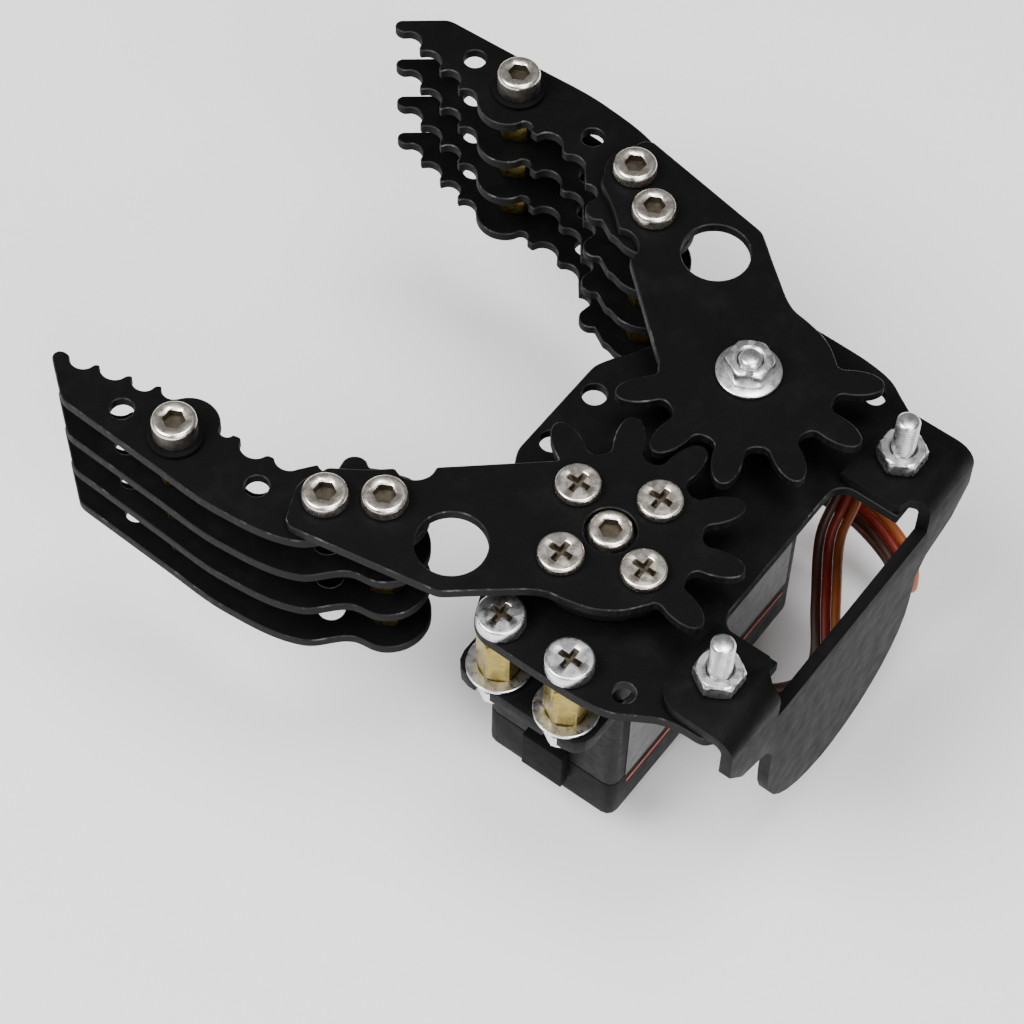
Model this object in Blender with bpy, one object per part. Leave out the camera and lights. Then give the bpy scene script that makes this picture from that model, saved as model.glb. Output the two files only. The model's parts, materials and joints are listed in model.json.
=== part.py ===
"""Two-finger robot arm gripper: two meshed gear arms of sheet metal, one driven by a standard
servo under the base plate, each with a stack of four toothed finger plates.

Lengths are in metres. The working frame has X across the fingers, Y along them to their tips
and Z up the servo's shaft; its zero is midway between the gears, in the gear arms' top face.
The empty that holds everything moves it so that the bracket's wrist face is at the origin.
"""

from math import atan2, cos, degrees, pi, radians, sin, sqrt

import bmesh
import bpy
from mathutils import Vector

MM = 0.001

# Driving dimensions
SHEET = 1.5 * MM            # thickness of the arms and finger plates
FRAME_SHEET = 1.6 * MM      # thickness of the base plate and the bracket
GAP = 0.2 * MM              # between pieces that touch
GEAR_X = 14.3 * MM          # each gear's centre from the middle
FINGER_PITCH = 7.6 * MM     # from one finger plate to the next
FINGER_LAYERS = 4
BASE_TOP = -6.8 * MM        # top face of the base plate
BASE_CORNER = 3.7 * MM      # radius of its corners beside the gears
FRAME_X = -1.15 * MM        # middle of the base plate's rear and of the bracket
WRIST_Y = -27.0 * MM        # outer face of the bracket's flange
WRIST_Z = -22.0 * MM        # middle of the flange
FLANGE_HALF = 15.7 * MM     # half its width, also the radius of its round foot
FLANGE_FOOT = -26.5 * MM    # centre of that foot
EAR_INNER = 13.2 * MM       # from FRAME_X to the inner edge of each of the bracket's ears

# Gear sectors
GEAR_TEETH = 11             # on a whole circle
TEETH_CUT = 6               # on each arm
TOOTH_TIP = 16.6 * MM
TOOTH_ROOT = 11.0 * MM
TOOTH_HALF = 1.9 * MM       # half the width of a tooth's straight part
TOOTH_SHOULDER = 12.9 * MM  # radius where a tooth starts to round off
LAST_TOOTH = {-1: 58.5, 1: 42.15}  # degrees of the tooth nearest the fingers, by side

# Servo of the standard size
SERVO_BOTTOM = -46.0 * MM
SERVO_NEAR = -24.5 * MM     # the case's end beside the shaft
SERVO_FAR = 16.2 * MM
SERVO_HALF = 9.85 * MM      # half its width
SERVO_CORNER = 1.5 * MM
EAR_TOP = -16.9 * MM
EAR_THICK = 2.5 * MM
EAR_REACH = 7.8 * MM
EAR_HALF = 9.7 * MM
EAR_CORNER = 2.6 * MM
EAR_HOLE = 2.2 * MM         # radius
EAR_SLOT = 1.1 * MM         # half the width of the slot from an ear hole to the ear's edge
EAR_HOLE_REACH = 4.4 * MM   # ear hole from the case's end
EAR_HOLE_Y = 5.0 * MM
LOWER_TOP = -38.2 * MM      # top of the lower cover
CASE_TOP = -9.4 * MM
BOSS_TOP = -8.0 * MM
CASE_WALL = 1.6 * MM
SHAFT_TOP = -3.2 * MM
SHAFT_RADIUS = 2.95 * MM
# Lead boot: each block's span in x, half its width, and its span in z
BOOT_BLOCK = ((-26.2 * MM, -24.7 * MM), 3.1 * MM, (-42.8 * MM, -35.6 * MM))
BOOT_TONGUE = ((-25.0 * MM, -21.0 * MM), 2.0 * MM, (-43.4 * MM, -41.4 * MM))
BOOT_EXIT = ((-22.0 * MM, -19.4 * MM), 2.4 * MM, (-49.0 * MM, -41.6 * MM))
HORN_RADIUS = 10.0 * MM
HORN_THICK = 2.4 * MM
HORN_CIRCLE = 7.0 * MM      # radius of the horn's screw circle
HORN_ANGLE = 69.2           # degrees of its first screw

# Fasteners, all M3
THREAD = 1.5 * MM
CLEARANCE = 1.75 * MM
HEAD = 2.8 * MM             # radius of a button head
HEAD_HEIGHT = 1.8 * MM
CAP_HEIGHT = 3.0 * MM       # of the fingertip screw's cap head
NUT = 5.5 * MM              # across flats
HEX = 5.0 * MM              # across flats of the brass spacers and standoffs
NUT_HEIGHT = 2.4 * MM
WASHER = 4.1 * MM           # radius
WASHER_THICK = 0.5 * MM
TIP_WASHER = 3.5 * MM       # radius of the washer under the fingertip screw
TIP_WASHER_THICK = 0.6 * MM
SOCKET = 2.5 * MM           # across flats of a screw's hexagon socket

# Holes of the left jaw, from its gear's centre. The right jaw mirrors them
ROOT_SCREW = (-13.0 * MM, 23.4 * MM)
MIDDLE_SCREW = (-17.0 * MM, 29.2 * MM)
TIP_SCREW = (-20.0 * MM, 49.8 * MM)
SMALL_HOLES = ((-19.6 * MM, 37.6 * MM), (-20.9 * MM, 57.6 * MM))
SMALL_HOLE = 1.5 * MM
LIGHTENING = (-12.8 * MM, 13.7 * MM)
LIGHTENING_RADIUS = 4.4 * MM

BRACKET_BOLT = (19.4 * MM, -20.2 * MM)  # from FRAME_X

# The servo lead's way, in millimetres of the working frame, from its boot to its plug
LEAD_RADIUS = 1.0 * MM
LEAD_SPACING = 2.8 * MM
LEAD_ROUTE = (
    (-19.0, 0.0, -48.2), (-14.0, -0.3, -48.3), (-7.0, -2.0, -49.2), (-0.5, -6.0, -51.0),
    (3.6, -12.4, -51.6), (6.4, -18.2, -47.6), (7.6, -20.2, -39.5), (10.2, -17.8, -30.5),
    (15.2, -14.4, -24.4), (21.6, -12.8, -20.4), (27.2, -6.2, -15.8), (27.4, 4.0, -15.2),
    (27.4, 11.2, -21.8), (27.4, 11.4, -32.0), (27.8, 4.0, -39.2), (28.6, -5.5, -38.0),
    (29.6, -11.0, -29.6), (30.2, -7.4, -20.4), (30.4, 1.0, -16.6), (30.3, 8.4, -20.4),
    (29.8, 9.6, -28.8), (28.0, 3.2, -33.6), (25.4, -6.0, -31.8), (22.8, -15.6, -27.6),
    (21.6, -22.0, -30.6), (23.0, -22.4, -39.6), (30.0, -17.4, -44.2), (32.0, -7.4, -42.8),
    (30.6, 3.2, -44.0), (23.6, 11.0, -46.4), (13.0, 14.8, -47.6), (3.0, 15.4, -47.0),
    (-3.6, 15.4, -42.0), (-4.2, 15.4, -35.0),
)

ROUND = 24                  # sides of a large round piece
SMALL_ROUND = 12            # sides of a small one

CENTRES = {
    "gripper_frame": Vector((0, 0, 0)),
    "left_pivot": Vector((-GEAR_X, 0, 0)),
    "right_pivot": Vector((GEAR_X, 0, 0)),
}

# Colour, roughness and metallic value of each finish
FINISHES = {
    "black_sheet": ((0.022, 0.023, 0.024), 0.5, 0.3),
    "nickel_screw": ((0.72, 0.67, 0.58), 0.32, 1.0),
    "zinc_steel": ((0.66, 0.67, 0.68), 0.34, 1.0),
    "brass": ((0.5, 0.4, 0.13), 0.35, 1.0),
    "case_plastic": ((0.035, 0.037, 0.04), 0.45, 0.0),
    "black_rubber": ((0.012, 0.012, 0.013), 0.7, 0.0),
    "motor_steel": ((0.5, 0.5, 0.5), 0.4, 1.0),
    "board_green": ((0.02, 0.16, 0.06), 0.5, 0.0),
    "black_anodised": ((0.02, 0.02, 0.022), 0.4, 0.5),
    "lead_insulation": ((0.45, 0.12, 0.02), 0.5, 0.0),
}


# Points and outlines
def from_centre(centre, radius, angle):
    """The point at a radius and an angle in degrees from a centre."""
    return (centre[0] + radius * cos(radians(angle)), centre[1] + radius * sin(radians(angle)))


def arc(centre, radius, start, end, steps):
    """Points along an arc between two angles in degrees, both ends included."""
    return [from_centre(centre, radius, start + (end - start) * i / steps) for i in range(steps + 1)]


def circle(centre, radius, sides=SMALL_ROUND):
    return arc(centre, radius, 0, 360 - 360 / sides, sides - 1)


def arc_through(first, middle, last, steps=4):
    """Points along the arc through three points, both ends included."""
    (ax, ay), (bx, by), (cx, cy) = first, middle, last
    twice = 2 * (ax * (by - cy) + bx * (cy - ay) + cx * (ay - by))
    a, b, c = ax * ax + ay * ay, bx * bx + by * by, cx * cx + cy * cy
    centre = ((a * (by - cy) + b * (cy - ay) + c * (ay - by)) / twice,
              (a * (cx - bx) + b * (ax - cx) + c * (bx - ax)) / twice)
    start, over, end = (degrees(atan2(y - centre[1], x - centre[0])) for x, y in (first, middle, last))
    sweep = (end - start) % 360
    if (over - start) % 360 > sweep:
        sweep -= 360
    radius = sqrt((ax - centre[0]) ** 2 + (ay - centre[1]) ** 2)
    return arc(centre, radius, start, start + sweep, steps)


def in_mm(*points):
    return [(x * MM, y * MM) for x, y in points]


def rounded_box(x0, x1, y0, y1, radius, steps=3):
    """A rectangle with round corners."""
    return (arc((x1 - radius, y1 - radius), radius, 0, 90, steps)
            + arc((x0 + radius, y1 - radius), radius, 90, 180, steps)
            + arc((x0 + radius, y0 + radius), radius, 180, 270, steps)
            + arc((x1 - radius, y0 + radius), radius, 270, 360, steps))


def side_of(point, side):
    """A point of the left jaw, moved to its place on the left (-1) or the right (1)."""
    return (side * GEAR_X - side * point[0], point[1])


# Solids
def prism(outline, bottom, top, holes=()):
    """A flat plate with an outline and holes, between two heights."""
    bm = bmesh.new()
    for loop in (outline, *holes):
        corners = [bm.verts.new((x, y, bottom)) for x, y in loop]
        for i, corner in enumerate(corners):
            bm.edges.new((corners[i - 1], corner))
    bmesh.ops.triangle_fill(bm, use_beauty=True, use_dissolve=False, edges=bm.edges[:])
    grown = bmesh.ops.extrude_face_region(bm, geom=bm.faces[:])
    raised = [item for item in grown["geom"] if isinstance(item, bmesh.types.BMVert)]
    bmesh.ops.translate(bm, verts=raised, vec=(0, 0, top - bottom))
    return bm


def ring_radius(shape, size, angle):
    """How far a ring's outline is from its centre at an angle in radians."""
    if shape == "hexagon":
        return size / 2 / cos(radians(degrees(angle) % 60 - 30))
    if shape == "cross":
        along, across = sorted((abs(cos(angle)), abs(sin(angle))), reverse=True)
        return min(size / along, 0.28 * size / max(across, 1e-6))
    return size


def turned(centre, rings, sides=SMALL_ROUND, closed=False):
    """A vertical solid lofted through rings of (shape, size, height). A closed one is a tube."""
    bm = bmesh.new()
    loops = []
    for shape, size, height in rings:
        loop = []
        for i in range(sides):
            angle = 2 * pi * i / sides
            radius = ring_radius(shape, size, angle)
            point = (centre[0] + radius * cos(angle), centre[1] + radius * sin(angle), height)
            loop.append(bm.verts.new(point))
        loops.append(loop)
    if closed:
        loops.append(loops[0])
    else:
        bm.faces.new(loops[0])
        bm.faces.new(loops[-1])
    for lower, upper in zip(loops, loops[1:]):
        for i in range(sides):
            bm.faces.new((lower[i - 1], lower[i], upper[i], upper[i - 1]))
    return bm


def box(x0, x1, y0, y1, z0, z1):
    return prism([(x0, y0), (x1, y0), (x1, y1), (x0, y1)], z0, z1)


def finish_of(name, node):
    """A Principled material of its own for a node, in one of the finishes."""
    colour, roughness, metallic = FINISHES[name]
    made = bpy.data.materials.new(f"{node}_{name}")
    made.use_nodes = True
    shader = made.node_tree.nodes["Principled BSDF"]
    shader.inputs["Base Color"].default_value = (*colour, 1)
    shader.inputs["Roughness"].default_value = roughness
    shader.inputs["Metallic"].default_value = metallic
    return made


def linked(name, bm, holder):
    """An object from a bmesh in the working frame, under one of the empties."""
    bmesh.ops.recalc_face_normals(bm, faces=bm.faces)
    bmesh.ops.translate(bm, verts=bm.verts, vec=-CENTRES[holder.name])
    mesh = bpy.data.meshes.new(name)
    bm.to_mesh(mesh)
    bm.free()
    mesh.shade_smooth()
    mesh.set_sharp_from_angle(angle=radians(35))
    made = bpy.data.objects.new(name, mesh)
    bpy.context.scene.collection.objects.link(made)
    made.parent = holder
    return made


def add(name, bm, holder, finish):
    made = linked(name, bm, holder)
    made.data.materials.append(finish_of(finish, name))
    return made


def combine(target, bm, operation):
    """Cuts a bmesh from an object, or joins it on, with an exact Boolean."""
    helper = linked(f"{target.name}_{operation.lower()}_{len(target.modifiers)}", bm, target.parent)
    helper.hide_render = True
    helper.display_type = "WIRE"
    step = target.modifiers.new(operation.title(), "BOOLEAN")
    step.operation = operation
    step.solver = "EXACT"
    step.object = helper


# Frame of the gripper
def base_side(inner):
    """One side of the base plate's outline, outwards from FRAME_X, from its front to its window."""
    rear, cut, round_off = -24.0 * MM, -15.5 * MM, 2.5 * MM
    points = arc((26.9 * MM, 4.9 * MM), BASE_CORNER, 70, 0, 4)
    points += in_mm((30.6, -4.0), (30.4, -9.0), (29.7, -12.4), (28.1, -15.2), (26.8, -17.6))
    points += in_mm((26.3, -20.2), (26.0, -23.0), (25.0, -24.0)) + [(inner, rear)]
    return points + arc((inner - round_off, cut - round_off), round_off, 0, 90, 4)


def base_outline():
    """The base plate's outline: it is wide at the servo's ears and has two lobes at the rear."""
    right = [(FRAME_X + x, y) for x, y in base_side(EAR_INNER)]
    left = [(FRAME_X - x, y) for x, y in reversed(base_side(EAR_INNER - 0.9 * MM))]
    front = in_mm((-12.6, 15.4), (-10.3, 17.0), (-7.2, 18.2), (7.2, 18.2), (10.3, 17.0), (12.6, 15.4))
    return right + left + front


def ear_holes():
    """The four points where the servo's ears are screwed on."""
    ends = (SERVO_NEAR - EAR_HOLE_REACH, SERVO_FAR + EAR_HOLE_REACH)
    return [(x, y) for x in ends for y in (-EAR_HOLE_Y, EAR_HOLE_Y)]


def bracket_bolts():
    return [(FRAME_X + side * BRACKET_BOLT[0], BRACKET_BOLT[1]) for side in (-1, 1)]


def make_base_plate(frame):
    bottom = BASE_TOP - FRAME_SHEET
    holes = [circle(point, CLEARANCE) for point in ear_holes() + bracket_bolts()]
    holes += [circle((-GEAR_X, 0), 8.4 * MM, ROUND), circle((GEAR_X, 0), CLEARANCE)]
    holes += [circle(point, 1.6 * MM) for point in in_mm((-4.4, 15.6), (4.4, 15.6))]
    holes += [circle((FRAME_X + side * 26.6 * MM, -12.05 * MM), 1.4 * MM) for side in (-1, 1)]
    plate = add("base_plate", prism(base_outline(), bottom, BASE_TOP, holes), frame, "black_sheet")
    sink = (("round", 3.3 * MM, bottom - 0.1 * MM), ("round", 1.8 * MM, bottom + 1.4 * MM))
    combine(plate, turned((GEAR_X, 0), sink, ROUND), "DIFFERENCE")


def bracket_profile():
    """The bracket's section across its bend, as (y, z) points."""
    top = BASE_TOP + GAP + FRAME_SHEET
    outer, inner = 2.8 * MM, 2.8 * MM - FRAME_SHEET
    centre = (WRIST_Y + outer, top - outer)
    front, bottom = -15.6 * MM, FLANGE_FOOT - FLANGE_HALF
    points = [(front, top)] + arc(centre, outer, 90, 180, 6)
    points += [(WRIST_Y, bottom), (WRIST_Y + FRAME_SHEET, bottom)]
    return points + arc(centre, inner, 180, 90, 6) + [(front, top - FRAME_SHEET)]


def make_bracket(frame):
    """One folded sheet: two ears over the base plate's lobes and a flange down the rear."""
    half = 26.0 * MM
    bm = bmesh.new()
    section = [bm.verts.new((FRAME_X - half, y, z)) for y, z in bracket_profile()]
    face = bm.faces.new(section)
    grown = bmesh.ops.extrude_face_region(bm, geom=[face])
    moved = [item for item in grown["geom"] if isinstance(item, bmesh.types.BMVert)]
    bmesh.ops.translate(bm, verts=moved, vec=(2 * half, 0, 0))
    bracket = add("rear_bracket", bm, frame, "black_sheet")

    slot_bottom = -11.2 * MM
    opening = [(FRAME_X - EAR_INNER, -10 * MM), (FRAME_X - EAR_INNER, -23.2 * MM)]
    opening += arc_through(*in_mm((-14.9, -23.9), (-16.9, -25.2), (-16.9, -28.0)))
    opening += arc_through(*in_mm((14.6, -28.0), (14.6, -25.2), (12.6, -23.9)))
    opening += [(FRAME_X + EAR_INNER, -23.2 * MM), (FRAME_X + EAR_INNER, -10 * MM)]
    combine(bracket, prism(opening, slot_bottom, 0), "DIFFERENCE")

    flange_sides(bracket)
    for point in bracket_bolts():
        hole = turned(point, (("round", CLEARANCE, -9 * MM), ("round", CLEARANCE, -3 * MM)))
        combine(bracket, hole, "DIFFERENCE")
    for side in (-1, 1):
        combine(bracket, ear_corner(side), "DIFFERENCE")


def ear_corner(side):
    """A cutter that rounds the outer front corner of an ear."""
    reach, front, radius = 26.0 * MM, -15.6 * MM, 3.0 * MM
    centre = (FRAME_X + side * (reach - radius), front - radius)
    start, end = (0, 90) if side > 0 else (180, 90)
    outline = arc(centre, radius, start, end, 5)
    outline += [(centre[0], front + MM), (FRAME_X + side * (reach + MM), front + MM)]
    outline += [(FRAME_X + side * (reach + MM), centre[1])]
    return prism(outline, -7.5 * MM, -4 * MM)


def flange_sides(bracket):
    """Cuts the flange to its outline: sloping shoulders above a tongue with a round foot."""
    outline = in_mm((30.0, -11.8), (26.0, -11.8), (22.9, -15.9), (17.6, -18.0), (15.8, -20.8))
    outline += arc((0, FLANGE_FOOT), FLANGE_HALF, 0, -84, 8)
    outline += [(2 * MM, FLANGE_FOOT - FLANGE_HALF - MM), (30 * MM, FLANGE_FOOT - FLANGE_HALF - MM)]
    for side in (-1, 1):
        bm = bmesh.new()
        far = [bm.verts.new((FRAME_X + side * x, WRIST_Y + 3 * MM, z)) for x, z in outline]
        grown = bmesh.ops.extrude_face_region(bm, geom=[bm.faces.new(far)])
        moved = [item for item in grown["geom"] if isinstance(item, bmesh.types.BMVert)]
        bmesh.ops.translate(bm, verts=moved, vec=(0, -6 * MM, 0))
        combine(bracket, bm, "DIFFERENCE")


# Fasteners
def pan_screw(centre, seat, end, height=HEAD_HEIGHT, head=HEAD, recess=1.0 * MM):
    """A cross-recessed screw that points down from its seat."""
    top = seat + height
    return turned(centre, (
        ("round", THREAD, end), ("round", THREAD, seat), ("round", head, seat),
        ("round", head, top - 0.4 * MM), ("round", head - 0.6 * MM, top),
        ("cross", 1.6 * MM, top), ("cross", 1.0 * MM, top - recess)), ROUND)


def bolt_with_nut(centre, seat, height, nut_top, washer=()):
    """A hexagon-socket screw that points down from its seat, with the nut run onto its end."""
    nut_bottom = nut_top - NUT_HEIGHT
    rings = [("round", THREAD, nut_bottom - 0.8 * MM), ("round", THREAD, nut_bottom),
             ("hexagon", NUT, nut_bottom), ("hexagon", NUT, nut_top), ("round", THREAD, nut_top),
             ("round", THREAD, seat)]
    if washer:
        radius, thick = washer
        rings += [("round", radius, seat), ("round", radius, seat + thick)]
        seat += thick
    top = seat + height
    rings += [("round", HEAD, seat), ("round", HEAD, top - 0.5 * MM), ("round", HEAD - 0.5 * MM, top),
              ("hexagon", SOCKET, top), ("hexagon", SOCKET, top - 1.2 * MM)]
    return turned(centre, rings, ROUND)


def bolt_up(centre, seat, end, head_height=HEAD_HEIGHT, head=HEAD):
    """A bolt whose head is below its seat and whose thread points up."""
    return turned(centre, (
        ("round", head - 0.3 * MM, seat - head_height), ("round", head, seat - head_height + 0.3 * MM),
        ("round", head, seat), ("round", THREAD, seat), ("round", THREAD, end - 0.4 * MM),
        ("round", THREAD - 0.4 * MM, end)), ROUND)


def hex_tube(centre, bottom, top, flats=HEX, bore=CLEARANCE):
    return turned(centre, (("hexagon", flats, bottom), ("hexagon", flats, top),
                           ("round", bore, top), ("round", bore, bottom)), closed=True)


def make_bracket_fasteners(frame):
    seat = BASE_TOP - FRAME_SHEET - GAP
    ear = BASE_TOP + GAP + FRAME_SHEET
    for side, point in zip(("left", "right"), bracket_bolts()):
        add(f"bracket_bolt_{side}", bolt_up(point, seat, ear + 8.2 * MM), frame, "zinc_steel")
        nut = hex_tube(point, ear + GAP, ear + GAP + NUT_HEIGHT, NUT, THREAD + 0.1 * MM)
        add(f"bracket_nut_{side}", nut, frame, "zinc_steel")


def make_servo_fasteners(frame):
    """A brass standoff with its washer and lower nut at each ear hole, and the screw above."""
    top = BASE_TOP - FRAME_SHEET - GAP
    washer_bottom = EAR_TOP + GAP
    washer_top = washer_bottom + WASHER_THICK
    under_ear = EAR_TOP - EAR_THICK - GAP
    for number, point in enumerate(ear_holes(), 1):
        standoff = turned(point, (
            ("round", THREAD, under_ear - NUT_HEIGHT - MM), ("round", THREAD, under_ear - NUT_HEIGHT),
            ("hexagon", HEX, under_ear - NUT_HEIGHT), ("hexagon", HEX, under_ear),
            ("round", THREAD, under_ear), ("round", THREAD, washer_bottom),
            ("round", WASHER, washer_bottom), ("round", WASHER, washer_top),
            ("hexagon", HEX, washer_top), ("hexagon", HEX, top),
            ("round", CLEARANCE, top), ("round", CLEARANCE, top - 4 * MM)), ROUND)
        add(f"servo_standoff_{number}", standoff, frame, "brass")
        screw = pan_screw(point, BASE_TOP + GAP, top - 3.6 * MM, 2.0 * MM, 3.0 * MM)
        add(f"servo_screw_{number}", screw, frame, "zinc_steel")


def make_idler_pivot(frame):
    """The right gear's pivot: a countersunk bolt, a brass bush, and a washer and nut on top."""
    bottom = BASE_TOP - FRAME_SHEET
    bolt = turned((GEAR_X, 0), (
        ("round", 2.9 * MM, bottom), ("round", THREAD, bottom + 1.2 * MM),
        ("round", THREAD, 3.2 * MM), ("round", 1.2 * MM, 3.5 * MM)), ROUND)
    add("idler_bolt", bolt, frame, "zinc_steel")
    bush = turned((GEAR_X, 0), (
        ("round", 3.0 * MM, BASE_TOP + GAP), ("round", 3.0 * MM, -SHEET - GAP),
        ("round", CLEARANCE, -SHEET - GAP), ("round", CLEARANCE, BASE_TOP + GAP)), ROUND, closed=True)
    add("idler_bush", bush, frame, "brass")
    bore, seat = THREAD + 0.1 * MM, GAP + WASHER_THICK
    nut = turned((GEAR_X, 0), (
        ("round", WASHER, GAP), ("round", WASHER, seat), ("hexagon", NUT, seat),
        ("hexagon", NUT, seat + NUT_HEIGHT), ("round", bore, seat + NUT_HEIGHT),
        ("round", bore, GAP)), ROUND, closed=True)
    add("idler_nut", nut, frame, "zinc_steel")


# Servo
def boot_box(part, margin=0.0):
    """One of the boot's three blocks, or a cutter that clears it by a margin."""
    (x0, x1), half, (z0, z1) = part
    return box(x0 - margin, x1 + margin, -half - margin, half + margin, z0 - margin, z1 + margin)


def case_outline(inset=0.0):
    return rounded_box(SERVO_NEAR + inset, SERVO_FAR - inset, -SERVO_HALF + inset, SERVO_HALF - inset,
                       SERVO_CORNER)


def make_servo_case(frame):
    """Three shells, screwed together on the real servo: a tray, a middle with ears, and a cap."""
    lower = add("servo_lower_cover", prism(case_outline(), SERVO_BOTTOM, LOWER_TOP), frame, "case_plastic")
    hollow = prism(case_outline(CASE_WALL), SERVO_BOTTOM + CASE_WALL, LOWER_TOP + MM)
    combine(lower, hollow, "DIFFERENCE")
    for part in (BOOT_TONGUE, BOOT_EXIT):
        combine(lower, boot_box(part, GAP), "DIFFERENCE")

    middle = add("servo_middle_case",
                 prism(case_outline(), LOWER_TOP + GAP, EAR_TOP - 0.1 * MM, [case_outline(CASE_WALL)]),
                 frame, "case_plastic")
    ears = rounded_box(SERVO_NEAR - EAR_REACH, SERVO_FAR + EAR_REACH, -EAR_HALF, EAR_HALF, EAR_CORNER)
    holes = [circle(point, EAR_HOLE) for point in ear_holes()]
    holes.append(case_outline(0.75 * CASE_WALL))
    combine(middle, prism(ears, EAR_TOP - EAR_THICK, EAR_TOP, holes), "UNION")
    for x, y in ear_holes():
        edge = SERVO_NEAR - EAR_REACH - MM if x < 0 else SERVO_FAR + EAR_REACH + MM
        slot = box(min(x, edge), max(x, edge), y - EAR_SLOT, y + EAR_SLOT, EAR_TOP - 2 * EAR_THICK, EAR_TOP + MM)
        combine(middle, slot, "DIFFERENCE")

    upper = add("servo_upper_cover", prism(case_outline(), EAR_TOP + GAP, CASE_TOP), frame, "case_plastic")
    boss = (("round", 6.6 * MM, CASE_TOP - MM), ("round", 6.4 * MM, CASE_TOP + 0.7 * MM),
            ("round", 5.2 * MM, CASE_TOP + 0.7 * MM), ("round", 5.0 * MM, BOSS_TOP))
    combine(upper, turned((-GEAR_X, 0), boss, ROUND), "UNION")
    hollow = prism(case_outline(CASE_WALL), EAR_TOP - MM, CASE_TOP - CASE_WALL)
    combine(upper, hollow, "DIFFERENCE")
    bore = (("round", SHAFT_RADIUS + GAP, EAR_TOP), ("round", SHAFT_RADIUS + GAP, 0))
    combine(upper, turned((-GEAR_X, 0), bore, ROUND), "DIFFERENCE")


def make_servo_inside(frame):
    """The motor, and the control board with its feedback potentiometer, inside the case."""
    motor = turned((6.0 * MM, 0), (
        ("round", 7.6 * MM, -37.0 * MM), ("round", 7.8 * MM, -36.6 * MM),
        ("round", 7.8 * MM, -17.6 * MM), ("round", 7.4 * MM, -17.2 * MM),
        ("round", 2.4 * MM, -17.2 * MM), ("round", 2.4 * MM, -16.6 * MM)), ROUND)
    add("servo_motor", motor, frame, "motor_steel")
    board = box(-21.0 * MM, 12.0 * MM, -7.4 * MM, 7.4 * MM, -40.4 * MM, -39.0 * MM)
    board = add("servo_board", board, frame, "board_green")
    legs = box(-GEAR_X - 3.0 * MM, -GEAR_X + 3.0 * MM, -0.6 * MM, 0.6 * MM, -39.6 * MM, -31.0 * MM)
    combine(board, legs, "UNION")
    potentiometer = turned((-GEAR_X, 0), (
        ("round", 5.5 * MM, -32.0 * MM), ("round", 5.5 * MM, -25.0 * MM),
        ("round", 1.5 * MM, -25.0 * MM), ("round", 1.5 * MM, -22.0 * MM)), ROUND)
    combine(board, potentiometer, "UNION")


def make_output(pivot):
    """The servo's output shaft, and the round horn that carries the left gear arm."""
    centre = (-GEAR_X, 0)
    shaft = turned(centre, (
        ("round", 2.0 * MM, -21.6 * MM), ("round", 2.0 * MM, -16.4 * MM),
        ("round", 6.6 * MM, -16.4 * MM), ("round", 6.6 * MM, -13.4 * MM),
        ("round", SHAFT_RADIUS, -13.4 * MM), ("round", SHAFT_RADIUS, SHAFT_TOP),
        ("round", CLEARANCE, SHAFT_TOP), ("round", CLEARANCE, -10.0 * MM)), ROUND)
    add("servo_output_shaft", shaft, pivot, "brass")
    top = -SHEET - GAP
    bore = SHAFT_RADIUS + GAP
    horn = turned(centre, (
        ("round", HORN_RADIUS, top), ("round", HORN_RADIUS, top - HORN_THICK),
        ("round", 4.4 * MM, top - HORN_THICK), ("round", 4.4 * MM, -7.6 * MM),
        ("round", bore, -7.6 * MM), ("round", bore, SHAFT_TOP + GAP),
        ("round", CLEARANCE, SHAFT_TOP + GAP), ("round", CLEARANCE, top)), ROUND, closed=True)
    horn = add("servo_horn", horn, pivot, "black_anodised")
    for number, point in enumerate(horn_screws(), 1):
        hole = turned(point, (("round", CLEARANCE, top - 2 * HORN_THICK), ("round", CLEARANCE, 0)))
        combine(horn, hole, "DIFFERENCE")
        screw = pan_screw(point, GAP, top - HORN_THICK, 1.1 * MM, HEAD, 0.7 * MM)
        add(f"horn_screw_{number}", screw, pivot, "nickel_screw")
    seat = top + GAP
    screw = turned(centre, (
        ("round", THREAD, -9.0 * MM), ("round", THREAD, seat), ("round", 2.7 * MM, seat),
        ("round", 2.7 * MM, 0.2 * MM), ("round", 2.3 * MM, 0.6 * MM),
        ("hexagon", SOCKET, 0.6 * MM), ("hexagon", SOCKET, -0.8 * MM)), ROUND)
    add("horn_centre_screw", screw, pivot, "nickel_screw")


def make_lead(frame):
    """The three-wire lead, its moulded boot at the case's end, and its plug."""
    boot = add("servo_lead_boot", boot_box(BOOT_BLOCK), frame, "black_rubber")
    combine(boot, boot_box(BOOT_TONGUE), "UNION")
    combine(boot, boot_box(BOOT_EXIT), "UNION")
    route = smooth_route([Vector(point) * MM for point in LEAD_ROUTE], LEAD_SPACING)
    curve = bpy.data.curves.new("servo_lead", "CURVE")
    curve.dimensions = "3D"
    curve.bevel_depth = LEAD_RADIUS
    curve.bevel_resolution = 2
    curve.use_fill_caps = True
    spline = curve.splines.new("POLY")
    spline.points.add(len(route) - 1)
    for point, place in zip(spline.points, route):
        point.co = (*place, 1)
    curve.materials.append(finish_of("lead_insulation", "servo_lead"))
    tube = bpy.data.objects.new("servo_lead", curve)
    bpy.context.scene.collection.objects.link(tube)
    tube.parent = frame
    end = route[-1]
    plug = prism(rounded_box(end.x - 3.9 * MM, end.x + 3.9 * MM, end.y - 1.4 * MM, end.y + 1.4 * MM, 0.4 * MM),
                 end.z + 0.3 * MM, end.z + 14.3 * MM)
    add("servo_lead_plug", plug, frame, "black_rubber")


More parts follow.
